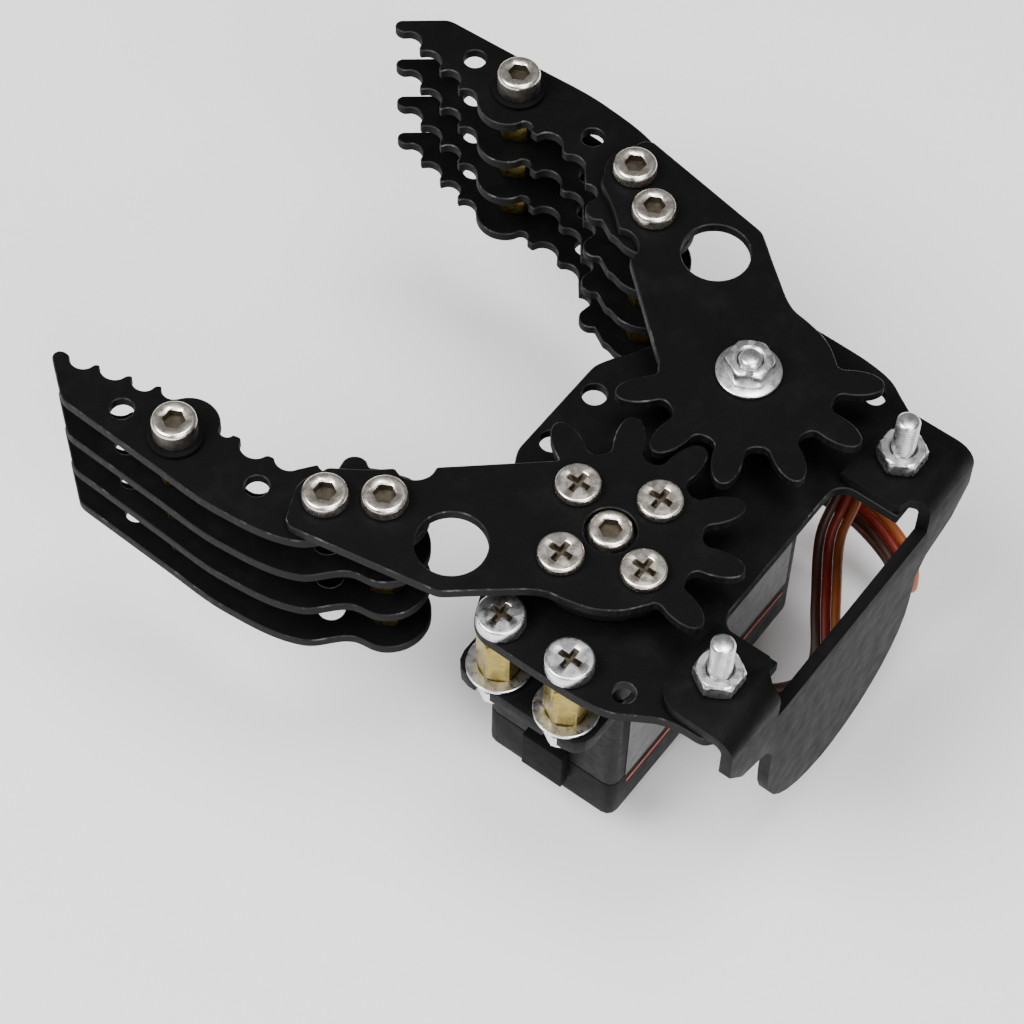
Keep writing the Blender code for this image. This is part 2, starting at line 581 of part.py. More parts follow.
def smooth_route(places, spacing):
    """Points about a spacing apart on the Catmull-Rom curve through the places."""
    places = [2 * places[0] - places[1], *places, 2 * places[-1] - places[-2]]
    found = [places[1]]
    for before, start, end, after in zip(places, places[1:], places[2:], places[3:]):
        steps = max(1, round((end - start).length / spacing))
        for i in range(1, steps + 1):
            t = i / steps
            found.append(0.5 * (2 * start + (end - before) * t
                                + (2 * before - 5 * start + 4 * end - after) * t ** 2
                                + (3 * start - before - 3 * end + after) * t ** 3))
    return found


# Jaws
def tooth_half_angle(radius):
    """Half the angle in degrees that a tooth takes at a radius."""
    swell = max(0.0, radius - TOOTH_SHOULDER) / (TOOTH_TIP - TOOTH_SHOULDER)
    return degrees(TOOTH_HALF * sqrt(max(0.0, 1 - swell ** 2)) / radius)


def gear_sector(last_tooth):
    """The toothed edge, counter-clockwise from the arm's outer side to its inner edge."""
    step = 360 / GEAR_TEETH
    radii = [TOOTH_ROOT + 0.5 * MM, TOOTH_SHOULDER, 14.6 * MM, 15.7 * MM, 16.35 * MM]
    points = arc((0, 0), TOOTH_ROOT, -172, last_tooth - step * (TEETH_CUT - 0.5) + 2, 3)
    for number in reversed(range(TEETH_CUT)):
        middle = last_tooth - number * step
        root = tooth_half_angle(TOOTH_ROOT) + 2.2
        flank = [from_centre((0, 0), TOOTH_ROOT, middle - root)]
        flank += [from_centre((0, 0), radius, middle - tooth_half_angle(radius)) for radius in radii]
        flank.append(from_centre((0, 0), TOOTH_TIP, middle))
        flank += [from_centre((0, 0), r, middle + tooth_half_angle(r)) for r in reversed(radii)]
        points += flank
        if number:
            points.append(from_centre((0, 0), TOOTH_ROOT, middle + root))
            points.append(from_centre((0, 0), TOOTH_ROOT - 0.15 * MM, middle + step / 2))
    return points


def arm_outline(last_tooth):
    """A gear arm's outline for the left jaw: the sector, then the arm to its end and back."""
    points = gear_sector(last_tooth)
    if last_tooth < 50:
        points += arc((0, 0), TOOTH_ROOT, last_tooth + 11.5, 62, 2)
    points += in_mm((-5.3, 21.6))
    points += arc_through(*in_mm((-6.4, 21.45), (-8.1, 22.3), (-8.85, 24.4)), 4)
    points += in_mm((-8.5, 25.5), (-10.4, 27.7), (-13.1, 31.6))
    points += arc(MIDDLE_SCREW, 3.9 * MM, 50, 118, 4)
    return points + in_mm((-22.0, 31.2), (-22.5, 30.0), (-19.1, 11.5), (-18.4, 10.2), (-14.6, 5.6), (-11.5, 1.3))


def finger_outline():
    """A finger plate's outline for the left jaw: hooked teeth inside, straight runs outside."""
    points = arc_through(*in_mm((-20.3, 69.3), (-19.5, 69.6), (-18.7, 68.7)), 3)
    teeth = (
        ((-18.8, 67.8), (-19.6, 66.0), (-17.9, 64.5)), ((-17.6, 64.0), (-18.5, 62.0), (-16.8, 60.3)),
        ((-16.4, 59.8), (-17.5, 57.8), (-15.8, 56.5)), ((-15.4, 56.0), (-16.3, 54.4), (-15.6, 53.2)),
        ((-14.9, 52.6), (-13.8, 49.8), (-15.1, 46.9)), ((-15.7, 46.5), (-16.5, 45.5), (-15.6, 44.5)),
        ((-15.4, 43.5), (-17.0, 41.2), (-15.4, 39.4)), ((-15.2, 38.6), (-15.8, 36.6), (-14.6, 35.2)),
        ((-12.8, 33.8), (-12.9, 32.2), (-12.1, 31.5)), ((-11.2, 31.6), (-8.8, 30.2), (-9.4, 28.7)),
    )
    for scallop in teeth:
        points += arc_through(*in_mm(*scallop), 5)
    points += in_mm((-8.2, 26.6))
    points += arc(ROOT_SCREW, 5.4 * MM, 25, -155, 9)
    return points + in_mm((-18.7, 24.5), (-22.8, 29.0), (-25.0, 39.5), (-24.8, 50.0), (-24.3, 63.4), (-23.8, 64.9))


def horn_screws():
    """The four points where the left gear arm is screwed to the horn."""
    return [from_centre((-GEAR_X, 0), HORN_CIRCLE, HORN_ANGLE + 90 * i) for i in range(4)]


def placed(outline, side):
    return [side_of(point, side) for point in outline]


def jaw_screws(side):
    return [side_of(point, side) for point in (ROOT_SCREW, MIDDLE_SCREW, TIP_SCREW)]


def finger_top(layer):
    return -SHEET - GAP - layer * FINGER_PITCH


def make_gear_arm(name, side, pivot):
    root, middle, _ = jaw_screws(side)
    holes = [circle(root, CLEARANCE), circle(middle, CLEARANCE)]
    holes.append(circle(side_of(LIGHTENING, side), LIGHTENING_RADIUS, ROUND))
    if side < 0:
        holes.append(circle((-GEAR_X, 0), 3.2 * MM, ROUND))
        holes += [circle(point, CLEARANCE) for point in horn_screws()]
    else:
        holes.append(circle((GEAR_X, 0), CLEARANCE))
    arm = prism(placed(arm_outline(LAST_TOOTH[side]), side), -SHEET, 0, holes)
    add(f"{name}_gear_arm", arm, pivot, "black_sheet")


def make_fingers(name, side, pivot):
    screws = jaw_screws(side)
    for layer in range(FINGER_LAYERS):
        holes = [circle(point, CLEARANCE) for point in screws]
        holes += [circle(side_of(point, side), SMALL_HOLE) for point in SMALL_HOLES]
        top = finger_top(layer)
        plate = prism(placed(finger_outline(), side), top - SHEET, top, holes)
        add(f"{name}_finger_plate_{layer + 1}", plate, pivot, "black_sheet")
    for layer in range(FINGER_LAYERS - 1):
        top, bottom = finger_top(layer) - SHEET - GAP, finger_top(layer + 1) + GAP
        for place, point in (("root", screws[0]), ("tip", screws[2])):
            add(f"{name}_{place}_spacer_{layer + 1}", hex_tube(point, bottom, top), pivot, "brass")


def make_jaw_bolts(name, side, pivot):
    root, middle, tip = jaw_screws(side)
    stack_bottom = finger_top(FINGER_LAYERS - 1) - SHEET - GAP
    plate_bottom = finger_top(0) - SHEET - GAP
    add(f"{name}_root_bolt", bolt_with_nut(root, GAP, HEAD_HEIGHT, stack_bottom), pivot, "nickel_screw")
    add(f"{name}_middle_bolt", bolt_with_nut(middle, GAP, HEAD_HEIGHT, plate_bottom), pivot, "nickel_screw")
    tip_bolt = bolt_with_nut(tip, finger_top(0) + GAP, CAP_HEIGHT, stack_bottom,
                             (TIP_WASHER, TIP_WASHER_THICK))
    add(f"{name}_tip_bolt", tip_bolt, pivot, "nickel_screw")


def make_jaw(name, side, pivot):
    make_gear_arm(name, side, pivot)
    make_fingers(name, side, pivot)
    make_jaw_bolts(name, side, pivot)


# The whole gripper
def clear_scene():
    for item in list(bpy.data.objects):
        bpy.data.objects.remove(item, do_unlink=True)


def make_empties():
    made = {}
    for name, centre in CENTRES.items():
        item = bpy.data.objects.new(name, None)
        bpy.context.scene.collection.objects.link(item)
        made[name] = item
        if name == "gripper_frame":
            item.location = (-FRAME_X, -WRIST_Y, -WRIST_Z)
        else:
            item.parent = made["gripper_frame"]
            item.location = centre
    return made.values()


def main():
    clear_scene()
    frame, left, right = make_empties()
    make_base_plate(frame)
    make_bracket(frame)
    make_bracket_fasteners(frame)
    make_servo_case(frame)
    make_servo_inside(frame)
    make_servo_fasteners(frame)
    make_idler_pivot(frame)
    make_lead(frame)
    make_output(left)
    make_jaw("left", -1, left)
    make_jaw("right", 1, right)


main()
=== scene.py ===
"""Looks of the two-finger robot arm gripper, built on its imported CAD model.

Lengths are in metres in the row frame, whose zero is the middle of the wrist face: X across the
fingers, Y along them to their tips, Z up the servo's shaft. A number times MM is in millimetres.
"""

import json
from math import atan2, ceil, cos, degrees, hypot, pi, radians, sin

import bmesh
import bpy
from mathutils import Matrix, Vector

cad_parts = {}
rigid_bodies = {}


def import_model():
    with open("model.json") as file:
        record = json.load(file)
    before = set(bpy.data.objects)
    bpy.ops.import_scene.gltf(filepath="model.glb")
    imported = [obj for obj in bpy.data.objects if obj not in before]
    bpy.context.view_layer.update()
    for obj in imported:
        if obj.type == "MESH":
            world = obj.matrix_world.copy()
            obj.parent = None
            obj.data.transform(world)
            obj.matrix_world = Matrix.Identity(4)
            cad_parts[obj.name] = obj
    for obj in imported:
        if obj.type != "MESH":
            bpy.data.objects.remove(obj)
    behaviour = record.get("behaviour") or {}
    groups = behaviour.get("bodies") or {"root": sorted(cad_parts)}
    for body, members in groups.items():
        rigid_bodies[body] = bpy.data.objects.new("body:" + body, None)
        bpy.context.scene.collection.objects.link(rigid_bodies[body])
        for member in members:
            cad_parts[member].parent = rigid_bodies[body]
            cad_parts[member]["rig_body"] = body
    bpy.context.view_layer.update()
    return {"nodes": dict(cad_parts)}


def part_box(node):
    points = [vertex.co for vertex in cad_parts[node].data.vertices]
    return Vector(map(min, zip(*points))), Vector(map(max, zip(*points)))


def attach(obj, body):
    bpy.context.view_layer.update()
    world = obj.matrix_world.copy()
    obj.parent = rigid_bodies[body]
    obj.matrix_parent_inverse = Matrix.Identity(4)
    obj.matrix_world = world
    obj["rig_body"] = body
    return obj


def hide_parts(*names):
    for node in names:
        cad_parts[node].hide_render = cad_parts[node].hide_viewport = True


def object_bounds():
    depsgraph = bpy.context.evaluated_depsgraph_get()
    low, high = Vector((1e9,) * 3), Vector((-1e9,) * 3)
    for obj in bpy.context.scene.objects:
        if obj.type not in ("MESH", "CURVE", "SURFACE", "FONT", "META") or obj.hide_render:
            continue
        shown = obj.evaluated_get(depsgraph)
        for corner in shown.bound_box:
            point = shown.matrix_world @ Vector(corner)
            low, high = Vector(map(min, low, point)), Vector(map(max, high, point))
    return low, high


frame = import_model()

MM = 0.001
NODES = frame["nodes"]
CLEARANCE_GAP = 0.2 * MM    # what the CAD leaves between pieces that touch

# The zero of part.py's working frame, midway between the gears, in the row frame
GEAR_ZERO = Vector((1.15, 27.0, 22.0)) * MM


# Camera: its place in the row frame, and where it looks, in degrees
CAMERA_PLACE = Vector((-179.94, -76.82, 327.01)) * MM
CAMERA_AZIMUTH, CAMERA_ELEVATION, CAMERA_ROLL = -54.71, 56.98, 1.9
CAMERA_LENS = 108.7         # millimetres, on a sensor 36 wide


def make_camera():
    turn, lift, roll = radians(CAMERA_AZIMUTH), radians(CAMERA_ELEVATION), radians(CAMERA_ROLL)
    back = Vector((sin(turn) * cos(lift), -cos(turn) * cos(lift), sin(lift)))
    right = Vector((0, 0, 1)).cross(back).normalized()
    up = back.cross(right)
    right, up = right * cos(roll) + up * sin(roll), up * cos(roll) - right * sin(roll)
    data = bpy.data.cameras.new("photo_camera")
    data.lens = CAMERA_LENS
    data.clip_start, data.clip_end = 0.01, 10
    camera = bpy.data.objects.new("photo_camera", data)
    bpy.context.scene.collection.objects.link(camera)
    turned = Matrix((right, up, back)).transposed().to_4x4()
    camera.matrix_world = Matrix.Translation(CAMERA_PLACE) @ turned
    bpy.context.scene.camera = camera


# Node materials
class Nodes:
    """A material's node tree, with short ways to add and join nodes."""

    def __init__(self, name):
        self.material = bpy.data.materials.new(name)
        self.material.use_nodes = True
        self.tree = self.material.node_tree
        self.shader = self.tree.nodes["Principled BSDF"]
        self.place = self.add("ShaderNodeTexCoord").outputs["Object"]

    def add(self, kind, **settings):
        made = self.tree.nodes.new(kind)
        for name, value in settings.items():
            setattr(made, name, value)
        return made

    def join(self, output, socket):
        self.tree.links.new(output, socket)

    def noise(self, scale, detail=3.0, roughness=0.55, stretch=None):
        """Noise from 0 to 1, with features about 1 / scale metres wide."""
        made = self.add("ShaderNodeTexNoise")
        made.inputs["Scale"].default_value = scale
        made.inputs["Detail"].default_value = detail
        made.inputs["Roughness"].default_value = roughness
        self.join(self.stretched(stretch) if stretch else self.place, made.inputs["Vector"])
        return made.outputs["Fac"]

    def stretched(self, scale):
        made = self.add("ShaderNodeMapping")
        made.inputs["Scale"].default_value = scale
        self.join(self.place, made.inputs["Vector"])
        return made.outputs["Vector"]

    def span(self, value, low, high, to_low=0.0, to_high=1.0):
        """Moves a value's span from low..high to to_low..to_high, held at its ends."""
        made = self.add("ShaderNodeMapRange")
        sockets = ("From Min", "From Max", "To Min", "To Max")
        for socket, number in zip(sockets, (low, high, to_low, to_high)):
            made.inputs[socket].default_value = number
        self.join(value, made.inputs["Value"])
        return made.outputs["Result"]

    def mix(self, factor, first, second):
        """A colour between two: the first where the factor is 0, the second where it is 1."""
        made = self.add("ShaderNodeMix", data_type="RGBA")
        self.join(factor, made.inputs["Factor"])
        for socket, colour in zip((made.inputs[6], made.inputs[7]), (first, second)):
            socket.default_value = (*colour, 1)
        return made.outputs[2]

    def product(self, first, second):
        made = self.add("ShaderNodeMath", operation="MULTIPLY")
        self.join(first, made.inputs[0])
        self.join(second, made.inputs[1])
        return made.outputs[0]

    def bump(self, height, depth, before=None):
        """Bump whose height of 1 stands out by a depth in metres."""
        made = self.add("ShaderNodeBump")
        made.inputs["Distance"].default_value = depth
        self.join(height, made.inputs["Height"])
        if before:
            self.join(before, made.inputs["Normal"])
        return made.outputs["Normal"]

    def surface(self, colour, roughness, normal=None, metallic=0.0, specular=0.5):
        self.join(colour, self.shader.inputs["Base Color"])
        self.join(roughness, self.shader.inputs["Roughness"])
        if normal:
            self.join(normal, self.shader.inputs["Normal"])
        self.shader.inputs["Metallic"].default_value = metallic
        self.shader.inputs["Specular IOR Level"].default_value = specular
        return self.material


def black_coat():
    """Satin black paint on sheet metal: a fine orange-peel grain, dust, and faint handling marks."""
    n = Nodes("black_coat")
    dust = n.span(n.noise(170, 5, 0.7), 0.5, 0.78)
    colour = n.mix(dust, (0.0032, 0.0032, 0.0034), (0.0062, 0.0062, 0.0065))
    rough = n.span(n.noise(420, 4), 0.3, 0.7, 0.46, 0.6)
    fine = n.bump(n.noise(4200, 2), 0.00003)
    return n.surface(colour, rough, n.bump(n.noise(900, 2), 0.00004, fine), specular=0.06)


def worn_edge_and_painted_highlight():
    """The paint along an edge, rubbed through to grey metal in places. The grey is partly real wear
    and partly a painted highlight along the edges.
    """
    n = Nodes("worn_edge_and_painted_highlight")
    rubbed = n.span(n.noise(620, 4, 0.7), 0.5, 0.66)
    broad = n.span(n.noise(95, 2), 0.42, 0.62)
    wear_and_highlight = n.product(rubbed, broad)
    # Grey patches on the edge faces: real rubbed wear, and also a painted edge highlight.
    colour = n.mix(wear_and_highlight, (0.007, 0.007, 0.0074), (0.12, 0.115, 0.11))
    rough = n.span(wear_and_highlight, 0, 1, 0.5, 0.36)
    return n.surface(colour, rough, n.bump(n.noise(2600, 2), 0.00003), 0.2, 0.3)


def cut_wall():
    """A sheet's cut side: paint over fine upright streaks left by the cut."""
    n = Nodes("cut_wall")
    streaks = n.noise(1500, 3, 0.6, (1, 1, 0.06))
    colour = n.mix(n.span(streaks, 0.4, 0.7), (0.004, 0.004, 0.0043), (0.0095, 0.0095, 0.01))
    rough = n.span(streaks, 0.3, 0.7, 0.5, 0.66)
    return n.surface(colour, rough, n.bump(streaks, 0.00006), specular=0.08)


def plated(name, clean, dull, roughness):
    """Plated or machined metal with soft stains, fine scratches and a little grime."""
    n = Nodes(name)
    stains = n.span(n.noise(700, 5, 0.65), 0.42, 0.72)
    colour = n.mix(stains, clean, dull)
    scratches = n.noise(5200, 2, 0.5, (1, 0.12, 0.3))
    rough = n.span(n.noise(1300, 4), 0.3, 0.7, roughness - 0.07, roughness + 0.1)
    return n.surface(colour, rough, n.bump(scratches, 0.00001), metallic=1.0)


def plastic(name, base, light, roughness, grain=3600, depth=0.00004, specular=0.3):
    """Moulded plastic or rubber with a spark-eroded grain and slight blotches."""
    n = Nodes(name)
    colour = n.mix(n.span(n.noise(210, 4), 0.35, 0.7), base, light)
    rough = n.span(n.noise(800, 3), 0.3, 0.7, roughness - 0.06, roughness + 0.06)
    return n.surface(colour, rough, n.bump(n.noise(grain, 2), depth), specular=specular)


def make_materials():
    return {
        "coat": black_coat(),
        "edge": worn_edge_and_painted_highlight(),
        "wall": cut_wall(),
        "nickel": plated("nickel", (0.93, 0.87, 0.77), (0.74, 0.68, 0.59), 0.27),
        "zinc": plated("zinc", (0.86, 0.86, 0.87), (0.66, 0.66, 0.66), 0.3),
        "brass": plated("brass", (0.34, 0.26, 0.06), (0.21, 0.16, 0.035), 0.3),
        "horn": plastic("black_anodised", (0.004, 0.004, 0.0042), (0.008, 0.008, 0.0084), 0.45,
                        specular=0.1),
        "motor": plated("motor_steel", (0.55, 0.55, 0.55), (0.4, 0.4, 0.4), 0.35),
        # Darker metal for the cross recesses and hex sockets: painted shade in the hollows.
        "recess": plated("recess_shadow", (0.13, 0.11, 0.08), (0.06, 0.05, 0.04), 0.45),
        # Darker metal for the side of a tip screw's head: painted shade.
        "shaded_side": plated("shaded_head_side", (0.11, 0.1, 0.09), (0.05, 0.047, 0.044), 0.5),
        "case": plastic("case_plastic", (0.0035, 0.0036, 0.0038), (0.0065, 0.0067, 0.007), 0.5,
                        specular=0.06),
        "rubber": plastic("black_rubber", (0.003, 0.003, 0.0032), (0.005, 0.005, 0.0053), 0.62,
                          specular=0.06),
        "board": plastic("board_green", (0.01, 0.12, 0.04), (0.02, 0.18, 0.07), 0.4),
        "brown": plastic("wire_brown", (0.04, 0.012, 0.006), (0.055, 0.017, 0.009), 0.42),
        "red": plastic("wire_red", (0.17, 0.012, 0.007), (0.22, 0.018, 0.01), 0.4),
        "orange": plastic("wire_orange", (0.25, 0.055, 0.009), (0.32, 0.08, 0.014), 0.4),
        "label": plastic("label_film", (0.02, 0.0205, 0.0215), (0.03, 0.031, 0.033), 0.34,
                         1500, 0.00001, 0.35),
        "label_line": plastic("label_line", (0.3, 0.035, 0.014), (0.36, 0.05, 0.02), 0.4,
                              1500, 0.00001),
    }


MATERIALS = make_materials()


# Pieces
def new_piece(name, bm, body, materials, smooth_angle):
    """An object from a bmesh, with its body and its materials by name."""
    bmesh.ops.recalc_face_normals(bm, faces=bm.faces)
    mesh = bpy.data.meshes.new(name)
    bm.to_mesh(mesh)
    bm.free()
    mesh.shade_smooth()
    mesh.set_sharp_from_angle(angle=radians(smooth_angle))
    for material in materials:
        mesh.materials.append(MATERIALS[material])
    made = bpy.data.objects.new(name, mesh)
    bpy.context.scene.collection.objects.link(made)
    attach(made, body)
    return made


def body_of(node):
    return NODES[node]["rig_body"]


def stand_for(node, bm, materials, smooth_angle):
    """A piece that replaces one CAD node and rides on its body."""
    made = new_piece(f"{node}_fine", bm, body_of(node), materials, smooth_angle)
    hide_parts(node)


def welded(node):
    """A CAD node's mesh with its triangles joined at their corners."""
    bm = bmesh.new()
    bm.from_mesh(NODES[node].data)
    bmesh.ops.remove_doubles(bm, verts=bm.verts, dist=0.0008 * MM)
    return bm


# Sheet metal: the CAD's outlines with their arcs made smooth and their edges broken
SHARP_TURN = 42             # degrees at which an outline's corner is a real one
LONG_SIDE = 2.2             # a side this many times its neighbour is straight, not part of an arc
STRAIGHT = 0.004            # sine of the turn at which a point still lies on a straight side
CORNER_ROUND = 0.3 * MM
CORNER_SHARE = 0.3          # the most of a side that a round corner takes
CORNER_STEPS = 4
ARC_STEP = 0.45 * MM
EDGE_BREAK = 0.14 * MM
HOLE_SIDES = 44
FEWEST_ROUND = 10           # points in the roughest loop that can be a circle
ROUND_PLAY = 0.02           # share of the radius by which its points may differ
SHEET_SMOOTH = 28           # degrees above which an edge is drawn sharp
EDGE_TURN = 30              # degrees above which an edge is rounded


def top_loops(bm):
    """The closed loops round the flat top of a prism, as lists of (x, y)."""
    top = max(vert.co.z for vert in bm.verts)
    flat = {face for face in bm.faces
            if all(abs(vert.co.z - top) < 0.01 * MM for vert in face.verts)}
    after = {}
    for face in flat:
        for loop in face.loops:
            if not any(other in flat for other in loop.edge.link_faces if other is not face):
                after[loop.vert] = loop.link_loop_next.vert
    loops = []
    while after:
        vert, found = next(iter(after)), []
        while vert in after:
            found.append((vert.co.x, vert.co.y))
            vert = after.pop(vert)
        loops.append(found)
    return loops


def unit(x, y):
    length = hypot(x, y) or 1.0
    return x / length, y / length


def without_straight(loop):
    """The loop without the points that lie on a straight stretch."""
    kept = []
    for i, point in enumerate(loop):
        before, after = loop[i - 1], loop[(i + 1) % len(loop)]
        one = unit(point[0] - before[0], point[1] - before[1])
        two = unit(after[0] - point[0], after[1] - point[1])
        if abs(one[0] * two[1] - one[1] * two[0]) > STRAIGHT:
            kept.append(point)
    return kept


def as_circle(loop):
    """A finer circle if the loop's points lie on one, or None."""
    x, y = (sum(point[axis] for point in loop) / len(loop) for axis in (0, 1))
    reach = [hypot(px - x, py - y) for px, py in loop]
    if len(loop) < FEWEST_ROUND or max(reach) - min(reach) > ROUND_PLAY * max(reach):
        return None
    start = atan2(loop[0][1] - y, loop[0][0] - x)
    second = atan2(loop[1][1] - y, loop[1][0] - x)
    way = 1 if (second - start) % (2 * pi) < pi else -1
    return [(x + reach[0] * cos(start + way * 2 * pi * i / HOLE_SIDES),
             y + reach[0] * sin(start + way * 2 * pi * i / HOLE_SIDES)) for i in range(HOLE_SIDES)]


def smoothed(loop):
    """A loop with its faceted arcs as smooth curves and its real corners slightly round."""
    circle = as_circle(loop)
    if circle:
        return circle
    loop = without_straight(loop)
    count = len(loop)
    ways, lengths = [], []
    for i, (x, y) in enumerate(loop):
        nx, ny = loop[(i + 1) % count]
        ways.append(unit(nx - x, ny - y))
        lengths.append(hypot(nx - x, ny - y))
    tangents = []
    for i in range(count):
        (ax, ay), (bx, by) = ways[i - 1], ways[i]
        turn = abs(degrees(atan2(ax * by - ay * bx, ax * bx + ay * by)))
        if turn > SHARP_TURN:
            tangents.append(None)
        elif lengths[i - 1] > LONG_SIDE * lengths[i]:
            tangents.append((ax, ay))
        elif lengths[i] > LONG_SIDE * lengths[i - 1]:
            tangents.append((bx, by))
        else:
            tangents.append(unit(ax + bx, ay + by))
    points = []
    for i, start in enumerate(loop):
        j = (i + 1) % count
        points += stretch(start, loop[j], ways[i], lengths[i], tangents[i], tangents[j])
        if tangents[j] is None:
            points += corner(loop[j], ways[i], ways[j], min(lengths[i], lengths[j]))
    return points


def stretch(start, end, way, length, first, last):
    """The points between two corners of an outline, on a Hermite curve where it bends."""
    if first is None:
        cut = min(CORNER_ROUND, CORNER_SHARE * length)
        start = (start[0] + way[0] * cut, start[1] + way[1] * cut)
    if last is None:
        cut = min(CORNER_ROUND, CORNER_SHARE * length)
        end = (end[0] - way[0] * cut, end[1] - way[1] * cut)
    ax, ay = first or way
    bx, by = last or way
    if ax * way[0] + ay * way[1] > 0.9999 and bx * way[0] + by * way[1] > 0.9999:
        return [] if first is None else [start]
    reach = hypot(end[0] - start[0], end[1] - start[1])
    steps = max(2, ceil(reach / ARC_STEP))
    points = []
    for i in range(1 if first is None else 0, steps):
        t = i / steps
        h0, h1 = 2 * t ** 3 - 3 * t ** 2 + 1, t ** 3 - 2 * t ** 2 + t
        h2, h3 = 3 * t ** 2 - 2 * t ** 3, t ** 3 - t ** 2
        points.append((h0 * start[0] + h1 * reach * ax + h2 * end[0] + h3 * reach * bx,
                       h0 * start[1] + h1 * reach * ay + h2 * end[1] + h3 * reach * by))
    return points


def corner(point, before, after, room):
    """A real corner, rounded a little. Its first and last points join its two sides."""
    cut = min(CORNER_ROUND, CORNER_SHARE * room)
    a = (point[0] - before[0] * cut, point[1] - before[1] * cut)
    b = (point[0] + after[0] * cut, point[1] + after[1] * cut)
    return [((1 - t) ** 2 * a[0] + 2 * t * (1 - t) * point[0] + t * t * b[0],
             (1 - t) ** 2 * a[1] + 2 * t * (1 - t) * point[1] + t * t * b[1])
            for t in (i / CORNER_STEPS for i in range(CORNER_STEPS + 1))]


def drawn_in(loop, distance):
    """The loop moved towards the solid, which is on its left."""
    moved = []
    for i, (x, y) in enumerate(loop):
        (px, py), (nx, ny) = loop[i - 1], loop[(i + 1) % len(loop)]
        one, two = unit(x - px, y - py), unit(nx - x, ny - y)
        side = unit(-one[1] - two[1], one[0] + two[0])
        reach = distance / max(0.6, side[0] * -one[1] + side[1] * one[0])
        moved.append((x + side[0] * reach, y + side[1] * reach))
    return moved


def sheet_solid(loops, bottom, top):
    """A plate with broken edges. Its faces, edges and walls are slots 0, 1 and 2."""
    bm = bmesh.new()
    caps = {bottom: [], top: []}
    for loop in loops:
        inner = drawn_in(loop, EDGE_BREAK)
        levels = ((inner, bottom), (loop, bottom + EDGE_BREAK), (loop, top - EDGE_BREAK), (inner, top))
        rings = [[bm.verts.new((x, y, z)) for x, y in points] for points, z in levels]
        for level, (low, high) in enumerate(zip(rings, rings[1:])):
            for i in range(len(low)):
                face = bm.faces.new((low[i - 1], low[i], high[i], high[i - 1]))
                face.material_index = 2 if level == 1 else 1
        for height, ring in ((bottom, rings[0]), (top, rings[-1])):
            caps[height] += [bm.edges.get((ring[i - 1], ring[i])) for i in range(len(ring))]
    for edges in caps.values():
        filled = bmesh.ops.triangle_fill(bm, use_beauty=True, use_dissolve=False, edges=edges)
        for item in filled["geom"]:
            if isinstance(item, bmesh.types.BMFace):
                item.material_index = 0
    return bm


def fine_sheet(node):
    """A plate in place of a CAD one, from the outlines of its flat top."""
    bm = welded(node)
    loops = [smoothed(loop) for loop in top_loops(bm)]
    bm.free()
    low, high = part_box(node)
    plate = sheet_solid(loops, low.z, high.z)
    stand_for(node, plate, ("coat", "edge", "wall"), SHEET_SMOOTH)


def make_sheets():
    for node in sorted(NODES):
        if "_finger_plate_" in node or node.endswith("_gear_arm") or node == "base_plate":
            fine_sheet(node)


def softened(node, width, segments):
    """A CAD node's shape with its edges rounded. The rounded edges are slot 1."""
    bm = welded(node)
    bmesh.ops.dissolve_limit(bm, angle_limit=radians(0.5), verts=bm.verts, edges=bm.edges)
    edges = [edge for edge in bm.edges
             if len(edge.link_faces) == 2 and edge.calc_face_angle() > radians(EDGE_TURN)]
    bmesh.ops.bevel(bm, geom=edges, offset=width, offset_type="OFFSET", segments=segments,
                    profile=0.5, affect="EDGES", clamp_overlap=True, material=1)
    return bm


# Fasteners
FINE = 48                   # points round a screw, a nut or a spacer
THREAD_PITCH = 0.5 * MM
THREAD_DEPTH = 0.16 * MM
NUT = 5.5 * MM              # across a nut's flats
HEX = 5.0 * MM              # across the flats of the brass pieces
M3 = 1.5 * MM               # radius of an M3 thread
BORE = M3 + 0.15 * MM
TUBE_BORE = 1.75 * MM       # radius of the tapped hole in a standoff's top
CROSS_ARM = 0.26            # half width of a cross recess's arm, as a share of its reach
SOCKET = 2.5 * MM           # across the flats of a socket head's socket
SOCKET_DEPTH = 1.3 * MM
WASHER_RADIUS = 4.1 * MM
TIP_WASHER_RADIUS, TIP_WASHER = 3.5 * MM, 0.6 * MM
NUT_HEIGHT = 2.4 * MM
NUT_CHAMFER = 0.45 * MM
HEX_CHAMFER = 0.35 * MM
JAW_HEAD = 2.8 * MM         # radius of the jaws' screw heads
TURNED_SMOOTH = 40          # degrees above which a turned piece's edge is drawn sharp
HEX_SMOOTH = 30             # the same for a hexagonal one

# Name, count, metal, head radius and head height in millimetres
CROSS_SCREWS = (("horn_screw", 4, "nickel", 2.8, 1.1), ("servo_screw", 4, "zinc", 3.0, 2.0))


def hexagon(flats, angle):
    """How far a hexagon's outline is from its middle at an angle."""
    return flats / 2 / cos((angle % (pi / 3)) - pi / 6)


def cross(size, angle):
    """How far a cross recess's outline is from its middle at an angle."""
    along, across = sorted((abs(cos(angle)), abs(sin(angle))), reverse=True)
    return min(size / along, CROSS_ARM * size / max(across, 1e-6))


def cross_of(size):
    return lambda angle: cross(size, angle)


